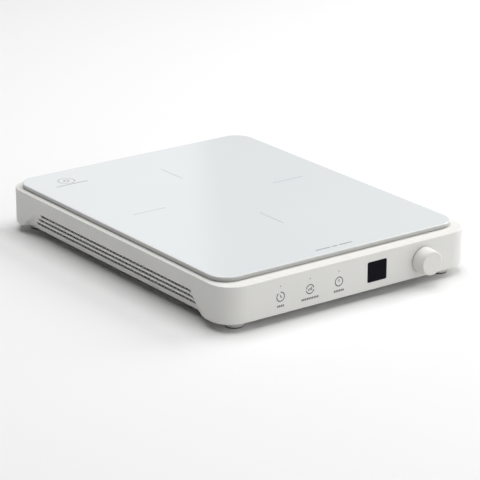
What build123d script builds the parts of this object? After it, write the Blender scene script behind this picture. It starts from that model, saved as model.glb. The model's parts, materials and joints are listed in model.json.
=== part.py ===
from build123d import *
import os
from math import atan2, cos, degrees, radians, sin, sqrt

# Portable single-zone induction cooktop, in millimetres.
# +Z is up, the controls face -Y, and the origin is on the table under the middle of the whole box.
# Sketch coordinates are measured from the middle of the housing, which the ground plane carries.

# ---------------------------------------------------------------- driving dimensions
width = 277.6
depth = 355.0
corner_radius = 22.5
housing_bottom = 8.2
rim_top = 42.4
rim_round = 0.7
wall = 2.4
top_wall = 2.5
bottom_edge_chamfer = 0.6
running_fit = 0.05
loose_fit = 0.15

glass_thickness = 4.0
glass_top = 47.0
glass_side_ledge = 5.5
glass_front_ledge = 13.1
glass_rear_ledge = 6.4
glass_corner_radius = 19.0
glass_edge_round = 0.6
seal_inset = 0.6
seal_width = 7.0

knob_x = 80.5
control_height = 24.2
knob_radius = 12.3
knob_face_radius = 11.0
knob_reach = 13.5
knob_gap = 0.8
gland_flange = 2.5

centre_y = (knob_reach - gland_flange) / 2
front_y = -depth / 2
rear_y = depth / 2
ground = Plane(origin=(0, centre_y, 0))
front = Plane(origin=(0, centre_y + front_y, 0), x_dir=(1, 0, 0), z_dir=(0, -1, 0))
rear = Plane(origin=(0, centre_y + rear_y, 0), x_dir=(-1, 0, 0), z_dir=(0, 1, 0))

# ---------------------------------------------------------------- side scoops and vents
scoop_depth = 8.0
scoop_crease = 28.9
scoop_low = 7.0
scoop_high = 31.0
scoop_front_end = {"start_low": 159.5, "start_high": 128.6, "blend_low": 31.2, "blend_high": 6.0}
scoop_rear_end = {"start_low": 156.0, "start_high": 130.3, "blend_low": 9.0, "blend_high": 8.0}
scoop_front_lean = 0.45
scoop_overlap = 0.4
scoop_outside = 8.0
scoop_angle = degrees(atan2(scoop_depth, scoop_crease - housing_bottom))
scoop_rise = scoop_crease - housing_bottom

slot_rows = 3
slot_top_row = 26.8
slot_pitch = 5.75
slot_height = 2.9
slot_front_end = 127.5
slot_front_step = 2.0
slot_rear_end = 118.5
slot_rear_step = 7.0
slot_inner_x = 129.0
slot_corner = 0.6

guard_thickness = 1.5
guard_length = 271.0
guard_height = 17.5
guard_middle = 20.8
guard_y = -0.5
rib_pitch = 5.4
rib_width = 1.6
rib_windows = 49
guard_rail = 0.85
tooth_inset = 0.9
tooth_gap = 0.3


def scoop_end(end, share, grow):
    """Distances from the middle to one end of a scoop and to the start of its S-curve."""
    start = end["start_low"] + share * (end["start_high"] - end["start_low"]) + grow
    blend = end["blend_low"] + share * (end["blend_high"] - end["blend_low"])
    return start, start - blend


def scoop_section(side, height, grow):
    """One level cut through a side scoop: straight in the middle, an S-curve at each end."""
    inward = -side
    wall_x = side * width / 2
    level = (scoop_crease - height) / scoop_rise
    share = (height - scoop_low) / (scoop_high - scoop_low)
    front_start, front_flat = scoop_end(scoop_front_end, share, grow)
    rear_start, rear_flat = scoop_end(scoop_rear_end, share, grow)
    bottom_x = wall_x + inward * (scoop_depth * level + grow / cos(radians(scoop_angle)))
    edge_x = wall_x - inward * scoop_overlap + inward * grow
    outer_x = wall_x - inward * scoop_outside
    along = (0, 1)
    leaning = (inward * scoop_front_lean * level, 1)
    with BuildSketch(ground.offset(height)) as section:
        with BuildLine():
            Line((outer_x, -front_start), (edge_x, -front_start))
            Spline((edge_x, -front_start), (bottom_x, -front_flat), tangents=(along, leaning))
            Line((bottom_x, -front_flat), (bottom_x, rear_flat))
            Spline((bottom_x, rear_flat), (edge_x, rear_start), tangents=(along, along))
            Line((edge_x, rear_start), (outer_x, rear_start))
            Line((outer_x, rear_start), (outer_x, -front_start))
        make_face()
    return section.sketch


def side_scoop(side, grow):
    """The hollow taken out of one side wall, thickened inwards by grow."""
    low = scoop_section(side, scoop_low, grow)
    high = scoop_section(side, scoop_high, grow)
    with BuildPart() as scoop:
        loft([low.face(), high.face()], ruled=True)
    return scoop.part


outer_scoops = [side_scoop(side, 0) for side in (-1, 1)]
inner_scoops = [side_scoop(side, wall) for side in (-1, 1)]
base_scoops = [side_scoop(side, wall + loose_fit) for side in (-1, 1)]

# ---------------------------------------------------------------- front face layout
touch_pitch = 32.0
touch_first_x = -79.5
touch_places = [(touch_first_x + i * touch_pitch, control_height) for i in range(3)]
led_height = 33.9
led_places = [(x, led_height) for x, _ in touch_places]
led_radius = 0.65

display_size = (21.7, 19.1)
display_place = (27.55, 25.05)
display_corner = 1.5
display_lip = 1.6
display_lip_thickness = 1.0

bush_radius = 3.5
bush_hole_radius = 4.0
gland_place = (-95.0, 24.0)
gland_radius = 7.0

# ---------------------------------------------------------------- inner layout
base_bottom = 9.5
base_thickness = 2.2
base_top = base_bottom + base_thickness
ceiling = rim_top - top_wall

zone = (0.0, 21.5)
coil_opening_radius = 96.0

post_radius = 4.0
post_gap = 0.2
screw_radius = 1.5
screw_hole = screw_radius + running_fit
post_hole_depth = 12.0
post_row = [(131, -158), (123, -45), (123, 60), (131, 158)]
post_places = [(side * x, y) for side in (-1, 1) for x, y in post_row]

small_screw_radius = 1.25
small_screw_hole = small_screw_radius + running_fit
small_clearance_radius = 1.7
small_head_radius = 2.6
small_head_height = 1.6

board_thickness = 1.6
control_board_gap = 8.0
control_board_size = (192.0, 24.0)
control_board_place = (-1.0, 25.0)
control_boss_places = [(-92, 17.5), (56, 17.5)]

# ---------------------------------------------------------------- upper housing
with BuildPart() as cavity:
    with BuildSketch(ground.offset(housing_bottom)):
        RectangleRounded(width - 2 * wall, depth - 2 * wall, corner_radius - wall)
    extrude(amount=ceiling - housing_bottom)
    for scoop in inner_scoops:
        add(scoop, mode=Mode.SUBTRACT)

with BuildPart() as upper_housing:
    with BuildSketch(ground.offset(housing_bottom)):
        RectangleRounded(width, depth, corner_radius)
    extrude(amount=rim_top - housing_bottom)
    fillet(upper_housing.edges().group_by(Axis.Z)[-1], rim_round)
    chamfer(upper_housing.edges().group_by(Axis.Z)[0], bottom_edge_chamfer)
    for scoop in outer_scoops:
        add(scoop, mode=Mode.SUBTRACT)
    add(cavity.part, mode=Mode.SUBTRACT)

    # Opening under the glass for the coil.
    with BuildSketch(ground.offset(rim_top)):
        with Locations(zone):
            Circle(coil_opening_radius)
    extrude(amount=-top_wall, mode=Mode.SUBTRACT)

    # Posts for the base plate screws.
    with BuildSketch(ground.offset(base_top + post_gap)):
        with Locations(*post_places):
            Circle(post_radius)
    extrude(until=Until.NEXT)
    with BuildSketch(ground.offset(base_top + post_gap)):
        with Locations(*post_places):
            Circle(screw_hole)
    extrude(amount=post_hole_depth, mode=Mode.SUBTRACT)

    # Bosses that hold the control board behind the front face.
    with BuildSketch(front.offset(-wall)):
        with Locations(*control_boss_places):
            Circle(post_radius)
            Circle(small_screw_hole, mode=Mode.SUBTRACT)
    extrude(amount=-control_board_gap)

    # Display opening, LED holes and shaft hole in the front face.
    with BuildSketch(front):
        with Locations(display_place):
            RectangleRounded(
                display_size[0] + 2 * loose_fit, display_size[1] + 2 * loose_fit, display_corner
            )
        with Locations(*led_places):
            Circle(led_radius + running_fit)
        with Locations((knob_x, control_height)):
            Circle(bush_hole_radius)
    extrude(amount=-wall, mode=Mode.SUBTRACT)

    # Hole for the cord gland in the rear face.
    with BuildSketch(rear):
        with Locations(gland_place):
            Circle(gland_radius)
    extrude(amount=-wall, mode=Mode.SUBTRACT)

    # Three long air slots through each scooped side wall.
    for side in (-1, 1):
        slot_plane = Plane(
            origin=(side * slot_inner_x, centre_y, 0), x_dir=(0, side, 0), z_dir=(side, 0, 0)
        )
        for row in range(slot_rows):
            front_end = -slot_front_end - row * slot_front_step
            rear_end = slot_rear_end + row * slot_rear_step
            middle = side * (front_end + rear_end) / 2
            with BuildSketch(slot_plane):
                with Locations((middle, slot_top_row - row * slot_pitch)):
                    RectangleRounded(rear_end - front_end, slot_height, slot_corner)
            extrude(amount=width / 2 - slot_inner_x + 1, mode=Mode.SUBTRACT)

# ---------------------------------------------------------------- glass
glass_width = width - 2 * glass_side_ledge
glass_depth = depth - glass_front_ledge - glass_rear_ledge
glass_y = (glass_front_ledge - glass_rear_ledge) / 2

with BuildPart() as glass_plate:
    with BuildSketch(ground.offset(glass_top - glass_thickness)):
        with Locations((0, glass_y)):
            RectangleRounded(glass_width, glass_depth, glass_corner_radius)
    extrude(amount=glass_thickness)
    fillet(glass_plate.edges().group_by(Axis.Z)[-1], glass_edge_round)
    chamfer(glass_plate.edges().group_by(Axis.Z)[0], glass_edge_round / 2)

with BuildPart() as glass_seal:
    with BuildSketch(ground.offset(rim_top)):
        with Locations((0, glass_y)):
            RectangleRounded(
                glass_width - 2 * seal_inset,
                glass_depth - 2 * seal_inset,
                glass_corner_radius - seal_inset,
            )
            RectangleRounded(
                glass_width - 2 * (seal_inset + seal_width),
                glass_depth - 2 * (seal_inset + seal_width),
                glass_corner_radius - seal_inset - seal_width,
                mode=Mode.SUBTRACT,
            )
    extrude(amount=glass_top - glass_thickness - rim_top)


# ---------------------------------------------------------------- vent guards
rib_places = [guard_y + (i - (rib_windows - 1) / 2 + 0.5) * rib_pitch for i in range(rib_windows - 1)]


def vent_guard(side):
    """A flat comb of upright ribs against one slanted side wall, with a tooth of each rib in each slot."""
    tilt = radians(scoop_angle)
    face_x = width / 2 - scoop_depth * (scoop_crease - guard_middle) / scoop_rise
    inset = (wall + loose_fit) / cos(tilt)
    wall_plane = Plane(
        origin=(side * (face_x - inset), centre_y + guard_y, guard_middle),
        x_dir=(0, 1, 0),
        z_dir=(side * cos(tilt), 0, -sin(tilt)),
    )
    with BuildPart() as guard:
        with BuildSketch(wall_plane):
            RectangleRounded(guard_length, guard_height, rib_width)
            with GridLocations(rib_pitch, 0, rib_windows, 1):
                Rectangle(rib_pitch - rib_width, guard_height - 2 * guard_rail, mode=Mode.SUBTRACT)
        extrude(amount=-guard_thickness)
        for row in range(slot_rows):
            height = slot_top_row - row * slot_pitch
            front_end = -slot_front_end - row * slot_front_step + rib_pitch
            rear_end = slot_rear_end + row * slot_rear_step - rib_pitch
            tooth_x = width / 2 - scoop_depth * (scoop_crease - height) / scoop_rise - tooth_inset
            tooth_plane = Plane(
                origin=(side * tooth_x, centre_y, height), x_dir=(0, side, 0), z_dir=(side, 0, 0)
            )
            teeth = [(side * y, 0) for y in rib_places if front_end < y < rear_end]
            with BuildSketch(tooth_plane):
                with Locations(*teeth):
                    Rectangle(rib_width, slot_height - 2 * tooth_gap)
            extrude(amount=tooth_inset - inset - guard_thickness / 2)
    return guard


vent_guard_left = vent_guard(-1)
vent_guard_right = vent_guard(1)


# ---------------------------------------------------------------- shared small shapes
head_taper = 12.0


def screw_group(plane, places, shank_radius, shank_length, head_radius, head_height):
    """Identical cross-recessed screws. The plane is under the heads and faces out of them."""
    cross_width = 0.35 * head_radius
    cross_length = 1.2 * head_radius
    with BuildPart() as group:
        with BuildSketch(plane):
            with Locations(*places):
                Circle(shank_radius)
        extrude(amount=-shank_length)
        with BuildSketch(plane):
            with Locations(*places):
                Circle(head_radius)
        extrude(amount=head_height, taper=head_taper)
        with BuildSketch(plane.offset(head_height)):
            with Locations(*places):
                Rectangle(cross_length, cross_width)
                Rectangle(cross_width, cross_length)
        extrude(amount=-head_height / 2, mode=Mode.SUBTRACT)
    return group


def block(place, size, bottom, height, corner):
    """An upright box with rounded corners, standing at one height."""
    with BuildPart() as body:
        with BuildSketch(ground.offset(bottom)):
            with Locations(place):
                RectangleRounded(*size, corner)
        extrude(amount=height)
        chamfer(body.edges().group_by(Axis.Z)[-1], corner / 3)
    return body


def can(place, radius, bottom, height):
    """An upright round part with a softened top edge."""
    with BuildPart() as body:
        with BuildSketch(ground.offset(bottom)):
            with Locations(place):
                Circle(radius)
        extrude(amount=height)
        fillet(body.edges().group_by(Axis.Z)[-1], radius / 8)
    return body


def lead(points, bends, radius):
    """A round wire along straight runs joined by arcs. Points are (x, y, height)."""
    route = [Vector(x, centre_y + y, z) for x, y, z in points]
    with BuildPart() as wire:
        with BuildLine() as path:
            FilletPolyline(*route, radius=bends)
        with BuildSketch(Plane(origin=route[0], z_dir=route[1] - route[0])):
            Circle(radius)
        sweep(path=path.wire())
    return wire


# ---------------------------------------------------------------- base plate and feet
foot_places = {
    "front_left": (-115.4, -159.0),
    "front_right": (115.4, -159.0),
    "rear_left": (-115.4, 159.0),
    "rear_right": (115.4, 159.0),
}
foot_radius = 12.9
foot_pad_radius = 7.8
foot_pad_height = 1.2
foot_stem_radius = 3.0
foot_stem_length = 4.5
foot_drop = base_bottom - foot_pad_height
foot_edge = 0.4
foot_pad_round = 0.4
foot_taper = degrees(atan2(foot_radius - foot_pad_radius - foot_edge, foot_drop))

base_head_radius = 3.0
base_head_height = 1.3
base_head_gap = 0.3
base_sink = 1.4
base_screw_length = 10.0
base_skin = 0.8
standoff_radius = 3.5

fan_place = (-88.0, -112.0)
fan_size = 80.0
fan_bottom = 13.0
fan_height = 15.0
fan_hole_pitch = 71.5
fan_duct_radius = 38.5
intake_rings = 4
intake_first = 12.0
intake_pitch = 7.0
intake_gap = 3.4
intake_spokes = 4

main_board_place = (41.0, -115.0)
main_board_size = (166.0, 82.0)
main_board_bottom = 16.0
main_board_top = main_board_bottom + board_thickness
main_screw_inset = 5.0
main_screw_spacing = (
    main_board_size[0] - 2 * main_screw_inset,
    main_board_size[1] - 2 * main_screw_inset,
)

carrier_bottom = 33.5
carrier_thickness = 3.0
carrier_top = carrier_bottom + carrier_thickness
carrier_screw_radius = 94.0
carrier_screw_places = [
    (
        zone[0] + carrier_screw_radius * cos(radians(angle)),
        zone[1] + carrier_screw_radius * sin(radians(angle)),
    )
    for angle in (45, 135, 225, 315)
]

exhaust_place = (-60.0, 138.0)
exhaust_slots = 9
exhaust_pitch = 7.0
exhaust_size = (3.4, 34.0)


def corner_holes(centre, spacing):
    """The four corners of a rectangle about a centre."""
    return [
        (centre[0] + x * spacing[0] / 2, centre[1] + y * spacing[1] / 2)
        for x in (-1, 1)
        for y in (-1, 1)
    ]


fan_screw_places = corner_holes(fan_place, (fan_hole_pitch, fan_hole_pitch))
main_screw_places = corner_holes(main_board_place, main_screw_spacing)

with BuildPart() as base_plate:
    edge = wall + loose_fit
    with BuildSketch(ground.offset(base_bottom)):
        RectangleRounded(width - 2 * edge, depth - 2 * edge, corner_radius - edge)
    extrude(amount=base_thickness)
    for scoop in base_scoops:
        add(scoop, mode=Mode.SUBTRACT)

    # Tapered foot bosses, each with a blind hole for its pad.
    with BuildSketch(ground.offset(base_bottom)):
        with Locations(*foot_places.values()):
            Circle(foot_radius)
    extrude(amount=-foot_drop, taper=foot_taper)
    with BuildSketch(ground.offset(foot_pad_height)):
        with Locations(*foot_places.values()):
            Circle(foot_stem_radius + running_fit)
    extrude(amount=foot_stem_length + post_gap, mode=Mode.SUBTRACT)

    # Standoffs for the fan, the main board and the coil carrier.
    for places, top in (
        (fan_screw_places, fan_bottom),
        (main_screw_places, main_board_bottom),
        (carrier_screw_places, carrier_bottom),
    ):
        with BuildSketch(ground.offset(base_top)):
            with Locations(*places):
                Circle(standoff_radius)
        extrude(amount=top - base_top)
        with BuildSketch(ground.offset(base_bottom + base_skin)):
            with Locations(*places):
                Circle(small_screw_hole)
        extrude(amount=top - base_bottom, mode=Mode.SUBTRACT)

    # Sunk screw holes, from below.
    with Locations(Plane(origin=(0, centre_y, base_bottom), x_dir=(1, 0, 0), z_dir=(0, 0, -1))):
        with Locations(*[(x, -y) for x, y in post_places]):
            CounterBoreHole(small_clearance_radius, base_head_radius + base_head_gap, base_sink)

    # Fan intake: ring gaps crossed by spokes.
    with BuildSketch(ground.offset(base_bottom)):
        with Locations(fan_place):
            for ring in reversed(range(intake_rings)):
                inner = intake_first + ring * intake_pitch
                Circle(inner + intake_gap)
                Circle(inner, mode=Mode.SUBTRACT)
            with PolarLocations(0, intake_spokes, start_angle=45):
                Rectangle(2 * fan_size, intake_gap, mode=Mode.SUBTRACT)
    extrude(amount=base_thickness, mode=Mode.SUBTRACT)

    # Exhaust slots near the rear.
    with BuildSketch(ground.offset(base_bottom)):
        with Locations(exhaust_place):
            with GridLocations(exhaust_pitch, 0, exhaust_slots, 1):
                SlotOverall(exhaust_size[1], exhaust_size[0], rotation=90)
    extrude(amount=base_thickness, mode=Mode.SUBTRACT)

base_screws = screw_group(
    Plane(origin=(0, centre_y, base_bottom + base_sink), x_dir=(1, 0, 0), z_dir=(0, 0, -1)),
    [(x, -y) for x, y in post_places],
    screw_radius,
    base_screw_length,
    base_head_radius,
    base_head_height,
)


def foot_pad(place):
    """A rubber pad with a stem that plugs into its foot boss."""
    with BuildPart() as pad:
        with BuildSketch(ground):
            with Locations(place):
                Circle(foot_pad_radius)
        extrude(amount=foot_pad_height)
        fillet(pad.edges().group_by(Axis.Z)[0], foot_pad_round)
        with BuildSketch(ground.offset(foot_pad_height)):
            with Locations(place):
                Circle(foot_stem_radius)
        extrude(amount=foot_stem_length)
    return pad


foot_pads = {f"foot_pad_{corner}": foot_pad(place) for corner, place in foot_places.items()}

# ---------------------------------------------------------------- cord gland
gland_inner_flange = 3.0
gland_length = 16.0
gland_bore = 3.6
gland_flange_radius = gland_radius + 2.0
gland_edge_round = 1.0

with BuildPart() as cord_gland:
    with BuildSketch(rear):
        with Locations(gland_place):
            Circle(gland_flange_radius)
    extrude(amount=gland_flange)
    fillet(cord_gland.edges().group_by(Axis.Y)[-1], gland_edge_round)
    with BuildSketch(rear):
        with Locations(gland_place):
            Circle(gland_radius - running_fit)
    extrude(amount=gland_flange - gland_length)
    with BuildSketch(rear.offset(-wall)):
        with Locations(gland_place):
            Circle(gland_flange_radius)
    extrude(amount=-gland_inner_flange)
    with BuildSketch(rear.offset(gland_flange)):
        with Locations(gland_place):
            Circle(gland_bore)
    extrude(amount=-gland_length, mode=Mode.SUBTRACT)

# ---------------------------------------------------------------- control knob and encoder
knob_edge = 0.8
knob_taper = degrees(atan2(knob_radius - knob_face_radius, knob_reach - knob_gap))
knob_skin = 2.2
knob_boss_radius = 5.5
knob_boss_start = 3.5
shaft_radius = 3.0
shaft_flat = 1.5
shaft_front = 10.5
shaft_flat_start = 2.0
encoder_size = 13.0
encoder_depth = 6.8
encoder_corner = 1.0
bush_reach = 1.4
control_front = -wall - control_board_gap
shaft_back = control_front + 1.5
shaft_bore_back = control_front + 1.4

with BuildPart() as control_knob:
    with BuildSketch(front.offset(knob_gap)):
        with Locations((knob_x, control_height)):
            Circle(knob_radius)
    extrude(amount=knob_reach - knob_gap, taper=knob_taper)
    fillet(control_knob.edges().group_by(Axis.Y)[0], knob_edge)
    fillet(control_knob.edges().group_by(Axis.Y)[-1], knob_edge / 3)
    # Hollow back, with a boss that grips the flatted shaft.
    with BuildSketch(front.offset(knob_gap)):
        with Locations((knob_x, control_height)):
            Circle(knob_radius - knob_skin)
    extrude(amount=knob_reach - knob_gap - knob_skin, taper=knob_taper, mode=Mode.SUBTRACT)
    with BuildSketch(front.offset(knob_boss_start)):
        with Locations((knob_x, control_height)):
            Circle(knob_boss_radius)
    extrude(amount=knob_reach - knob_boss_start - knob_skin)
    with BuildSketch(front.offset(knob_boss_start)):
        with Locations((knob_x, control_height)):
            Circle(shaft_radius + running_fit)
        with Locations((knob_x, control_height + shaft_radius)):
            Rectangle(
                2 * shaft_radius, 2 * (shaft_radius - shaft_flat - running_fit), mode=Mode.SUBTRACT
            )
    extrude(amount=shaft_front - knob_boss_start + loose_fit, mode=Mode.SUBTRACT)

with BuildPart() as encoder_shaft:
    with BuildSketch(front.offset(shaft_back)):
        with Locations((knob_x, control_height)):
            Circle(shaft_radius)
    extrude(amount=shaft_front - shaft_back)
    with BuildSketch(front.offset(shaft_flat_start)):
        with Locations((knob_x, control_height + shaft_radius)):
            Rectangle(2 * shaft_radius, 2 * (shaft_radius - shaft_flat))
    extrude(amount=shaft_front - shaft_flat_start, mode=Mode.SUBTRACT)

with BuildPart() as encoder_body:
    with BuildSketch(front.offset(control_front)):
        with Locations((knob_x, control_height)):
            RectangleRounded(encoder_size, encoder_size, encoder_corner)
    extrude(amount=encoder_depth)
    with BuildSketch(front.offset(control_front + encoder_depth)):
        with Locations((knob_x, control_height)):
            Circle(bush_radius)
    extrude(amount=bush_reach - control_front - encoder_depth)
    with BuildSketch(front.offset(shaft_bore_back)):
        with Locations((knob_x, control_height)):
            Circle(shaft_radius + running_fit)
    extrude(amount=bush_reach - control_front, mode=Mode.SUBTRACT)

# ---------------------------------------------------------------- display, LEDs, touch springs
display_sink = 0.1
display_bevel = 0.25
module_size = (19.0, 17.0)
module_corner = 0.6

with BuildPart() as display_window:
    with BuildSketch(front.offset(-wall)):
        with Locations(display_place):
            RectangleRounded(*display_size, display_corner)
    extrude(amount=wall - display_sink)
    chamfer(display_window.edges().group_by(Axis.Y)[0], display_bevel)
    with BuildSketch(front.offset(-wall)):
        with Locations(display_place):
            RectangleRounded(
                display_size[0] + 2 * display_lip, display_size[1] + 2 * display_lip, display_corner
            )
    extrude(amount=-display_lip_thickness)

with BuildPart() as display_module:
    with BuildSketch(front.offset(control_front)):
        with Locations(display_place):
            RectangleRounded(*module_size, module_corner)
    extrude(amount=encoder_depth)

led_bar_thickness = 2.0
led_bar_height = 2.6
led_bar_length = 2 * touch_pitch + 6.0
led_bar_corner = 0.8
led_leg_radius = 1.5
led_leg_gap = 1.0

with BuildPart() as led_light_guide:
    with BuildSketch(front.offset(-wall - loose_fit)):
        with Locations((led_places[1][0], led_height)):
            RectangleRounded(led_bar_length, led_bar_height, led_bar_corner)
    extrude(amount=-led_bar_thickness)
    with BuildSketch(front.offset(-wall - loose_fit)):
        with Locations(*led_places):
            Circle(led_radius)
    extrude(amount=wall + loose_fit - running_fit)
    with BuildSketch(front.offset(-wall - loose_fit)):
        with Locations(*led_places):
            Circle(led_leg_radius)
    extrude(amount=control_front + wall + loose_fit + led_leg_gap)

spring_wire = 0.3
spring_radius = 3.2
spring_turns = 4
spring_pad = 0.5
spring_height = control_board_gap - 2 * (spring_pad + spring_wire + running_fit)


def touch_spring(place):
    """A coil spring between the control board and the back of the front face, with flat ends."""
    centre = (place[0], centre_y + front_y - control_front - running_fit, place[1])
    coil_plane = Plane(origin=centre, x_dir=(1, 0, 0), z_dir=(0, -1, 0))
    start = coil_plane.offset(spring_pad + spring_wire)
    with BuildPart() as spring:
        with BuildLine() as path:
            Helix(
                pitch=spring_height / spring_turns,
                height=spring_height,
                radius=spring_radius,
                center=start.origin,
                direction=start.z_dir,
            )
        with BuildSketch(Plane(origin=path.line @ 0, z_dir=path.line % 0)):
            Circle(spring_wire)
        sweep(is_frenet=True)
        with BuildSketch(coil_plane):
            Circle(spring_radius + spring_wire)
            Circle(spring_radius - 3 * spring_wire, mode=Mode.SUBTRACT)
        extrude(amount=spring_pad + spring_wire / 2)
        with BuildSketch(start.offset(spring_height + spring_wire / 2)):
            Circle(spring_radius + spring_wire)
        extrude(amount=spring_pad + spring_wire / 2)
    return spring


touch_springs = {
    f"touch_spring_{name}": touch_spring(place)
    for name, place in zip(("timer", "mode", "power"), touch_places)
}

# ---------------------------------------------------------------- control board
board_corner = 1.0
chip_place = (-31.0, 26.0)
chip_size = (12.0, 12.0)
chip_thickness = 1.6
chip_corner = 0.4
control_screw_length = 7.0

with BuildPart() as control_board:
    with BuildSketch(front.offset(control_front)):
        with Locations(control_board_place):
            RectangleRounded(*control_board_size, board_corner)
        with Locations(*control_boss_places):
            Circle(small_clearance_radius, mode=Mode.SUBTRACT)
    extrude(amount=-board_thickness)

with BuildPart() as controller_chip:
    with BuildSketch(front.offset(control_front - board_thickness)):
        with Locations(chip_place):
            RectangleRounded(*chip_size, chip_corner)
    extrude(amount=-chip_thickness)

control_board_back = Plane(
    origin=(0, centre_y + front_y - control_front + board_thickness, 0),
    x_dir=(-1, 0, 0),
    z_dir=(0, 1, 0),
)
control_board_screws = screw_group(
    control_board_back,
    [(-x, z) for x, z in control_boss_places],
    small_screw_radius,
    control_screw_length,
    small_head_radius,
    small_head_height,
)

# ---------------------------------------------------------------- main board and what stands on it
main_screw_length = 5.5

with BuildPart() as main_board:
    with BuildSketch(ground.offset(main_board_bottom)):
        with Locations(main_board_place):
            RectangleRounded(*main_board_size, board_corner)
        with Locations(*main_screw_places):
            Circle(small_clearance_radius, mode=Mode.SUBTRACT)
    extrude(amount=board_thickness)

main_board_screws = screw_group(
    ground.offset(main_board_top),
    main_screw_places,
    small_screw_radius,
    main_screw_length,
    small_head_radius,
    small_head_height,
)

power_part_height = 4.8
sink_place = (2.0, -120.0)
sink_size = (76.0, 56.0)
sink_base = 3.0
sink_top = 38.0
sink_leg = 3.0
fin_count = 10
fin_thickness = 1.4
sink_bottom = main_board_top + power_part_height

with BuildPart() as heat_sink:
    with BuildSketch(ground.offset(sink_bottom)):
        with Locations(sink_place):
            Rectangle(*sink_size)
    extrude(amount=sink_base)
    with BuildSketch(ground.offset(sink_bottom + sink_base)):
        with Locations(sink_place):
            with GridLocations(0, (sink_size[1] - fin_thickness) / (fin_count - 1), 1, fin_count):
                Rectangle(sink_size[0], fin_thickness)
    extrude(amount=sink_top - sink_bottom - sink_base)
    with BuildSketch(ground.offset(main_board_top)):
        with Locations(sink_place):
            with GridLocations(sink_size[0] - sink_leg, 0, 2, 1):
                Rectangle(sink_leg, sink_size[1] / 2)
    extrude(amount=power_part_height)

power_package = {"bottom": main_board_top, "height": power_part_height, "corner": 0.9}
film_package = {"bottom": main_board_top, "height": 20.0, "corner": 1.5}

power_transistor = block(place=(-14, -120), size=(16, 21), **power_package)
bridge_rectifier = block(place=(18, -120), size=(30, 20), **power_package)
resonance_capacitor = block(place=(62, -100), size=(32, 16), **film_package)
filter_capacitor = block(place=(62, -122), size=(32, 16), **film_package)
supply_transformer = block(place=(96, -136), size=(22, 20), bottom=main_board_top, height=17, corner=1.5)
electrolytic_capacitor = can(place=(62, -141), radius=5.5, bottom=main_board_top, height=17)
buzzer = can(place=(78, -146), radius=6.0, bottom=main_board_top, height=8)

choke_place = (96.0, -104.0)
choke_radius = 9.5
choke_section = (8.0, 12.0)
choke_turns = 16
choke_wire_radius = 1.2
choke_outer = choke_radius + choke_section[0] / 2

with BuildPart() as input_choke:
    with BuildSketch(ground.offset(main_board_top)):
        with Locations(choke_place):
            Circle(choke_outer - choke_wire_radius / 2)
            with PolarLocations(choke_outer - 0.75 * choke_wire_radius, choke_turns):
                Circle(choke_wire_radius)
            Circle(choke_outer - choke_section[0], mode=Mode.SUBTRACT)
    extrude(amount=choke_section[1])

fuse_radius = 2.6
fuse_length = 20.0
fuse_place = (117.0, -118.0)
fuse_height = main_board_top + fuse_radius + 0.1
fuse_end = (fuse_place[0], centre_y + fuse_place[1], fuse_height)

with BuildPart() as main_fuse:
    with BuildSketch(Plane(origin=fuse_end, z_dir=(0, 1, 0))):
        Circle(fuse_radius)
    extrude(amount=fuse_length)
    fillet(main_fuse.edges().filter_by(GeomType.CIRCLE), fuse_radius / 5)

terminal_places = [(10, -82), (40, -82), (104, -82), (112, -82)]
terminal_height = 5.0
terminal_radius = 3.2
with BuildPart() as board_terminals:
    with BuildSketch(ground.offset(main_board_top)):
        with Locations(*terminal_places):
            RegularPolygon(terminal_radius, 6)
    extrude(amount=terminal_height)

# ---------------------------------------------------------------- fan
rotor_radius = 36.0
hub_radius = 16.0
hub_wall = 1.5
hub_bottom = fan_bottom + 1.0
hub_top = fan_bottom + fan_height - 3.0
motor_plate = 2.0
motor_radius = 15.5
sleeve_radius = 3.5
pin_radius = 1.5
strut_width = 3.0
strut_start = 20.0
sleeve_bottom = fan_bottom + 4.0
sleeve_depth = fan_height - 5.0
fan_corner = 4.0
fan_screw_length = 17.0
blade_count = 7
blade_angle = 42.0
blade_thickness = 1.2
blade_chord = 13.0
blade_root = hub_radius - 1.0
blade_edge = 0.5
hub_round = 0.8
pin_top = fan_bottom + fan_height - 1.5

fan_axis = Plane(origin=(fan_place[0], centre_y + fan_place[1], 0))
fan_top = fan_bottom + fan_height

with BuildPart() as fan_frame:
    with BuildSketch(fan_axis.offset(fan_bottom)):
        RectangleRounded(fan_size, fan_size, fan_corner)
        Circle(fan_duct_radius, mode=Mode.SUBTRACT)
        with GridLocations(fan_hole_pitch, fan_hole_pitch, 2, 2):
            Circle(small_clearance_radius, mode=Mode.SUBTRACT)
    extrude(amount=fan_height)
    with BuildSketch(fan_axis.offset(fan_top - motor_plate)):
        Circle(motor_radius)
        with PolarLocations((motor_radius + fan_duct_radius) / 2, 4, start_angle=strut_start):
            Rectangle(fan_duct_radius - motor_radius + 2, strut_width)
    extrude(amount=motor_plate)
    with BuildSketch(fan_axis.offset(sleeve_bottom)):
        Circle(sleeve_radius)
    extrude(amount=fan_top - sleeve_bottom)
    with BuildSketch(fan_axis.offset(sleeve_bottom)):
        Circle(pin_radius + running_fit)
    extrude(amount=sleeve_depth, mode=Mode.SUBTRACT)

blade_root_plane = Plane(
    origin=(blade_root, 0, (hub_bottom + hub_top) / 2), x_dir=(0, 1, 0), z_dir=(1, 0, 0)
)
with BuildPart() as fan_blade:
    with BuildSketch(blade_root_plane):
        RectangleRounded(blade_chord, blade_thickness, blade_edge, rotation=blade_angle)
    extrude(amount=rotor_radius - blade_root)

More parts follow.
